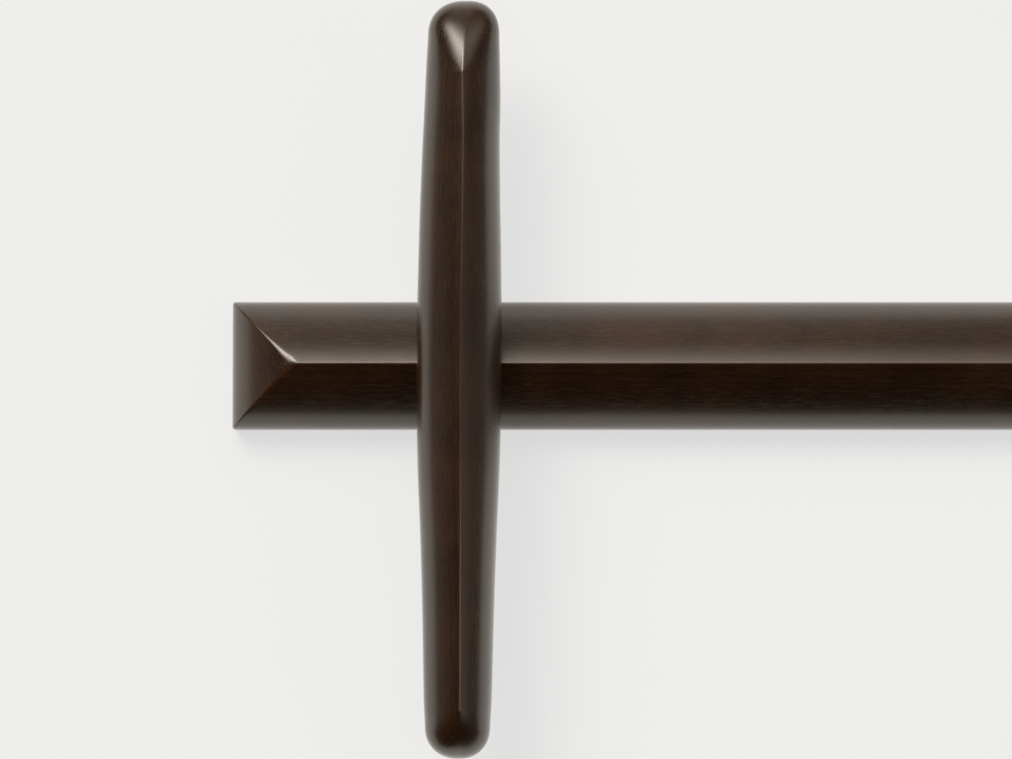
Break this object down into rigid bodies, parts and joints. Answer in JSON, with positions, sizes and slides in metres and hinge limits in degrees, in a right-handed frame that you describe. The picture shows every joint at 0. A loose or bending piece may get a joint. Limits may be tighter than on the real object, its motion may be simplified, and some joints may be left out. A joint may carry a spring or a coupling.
{
  "type": "wooden wing dummy",
  "caption": "Ridge-backed hardwood beam with a sculpted double-ended wing that turns on a pivot across it, for striking and deflecting drills.",
  "frame": {"origin": "on the beam's flat back face, under the wing's pivot, midway between the first two fixing inserts", "axes": "+X along the beam away from its nearer end, +Y along the wing towards its shorter end at rest, +Z out of the beam's front, along the pivot"},
  "size_m": [0.75, 0.5019, 0.108],
  "materials": {
    "beam_wood": "dark-stained close-grained hardwood, waxed",
    "wing_wood": "dark-stained close-grained hardwood, waxed, worn lighter along the ridge",
    "plate_steel": "brushed steel plate",
    "screw_steel": "darkened steel",
    "bolt_steel": "bright zinc-plated steel",
    "washer_steel": "ground hard steel",
    "bronze": "oiled sintered bronze",
    "friction_fibre": "brown friction fibre",
    "spring_steel": "phosphated spring steel",
    "nylon": "blue nylon",
    "insert_brass": "turned brass"
  },
  "bodies": {
    "beam": {"beam": "beam_wood", "front_bush": "bronze", "rear_bush": "bronze", "thrust_washer": "washer_steel", "friction_disc": "friction_fibre", "cover_plate": "plate_steel", "cover_plate_screws": "screw_steel", "back_inserts": "insert_brass"},
    "wing": {"wing": "wing_wood", "wing_plate": "plate_steel", "wing_plate_screws": "screw_steel", "pivot_bolt": "bolt_steel", "hub_collar": "bolt_steel", "pressure_washer": "washer_steel", "disc_springs": "spring_steel", "lock_nut": "bolt_steel", "lock_nut_ring": "nylon"}
  },
  "joints": [
    {"name": "wing_spin", "type": "hinge", "parent": "beam", "child": "wing", "pos_m": [0, 0, 0.056], "axis": [0, 0, 1], "continuous": true}
  ]
}
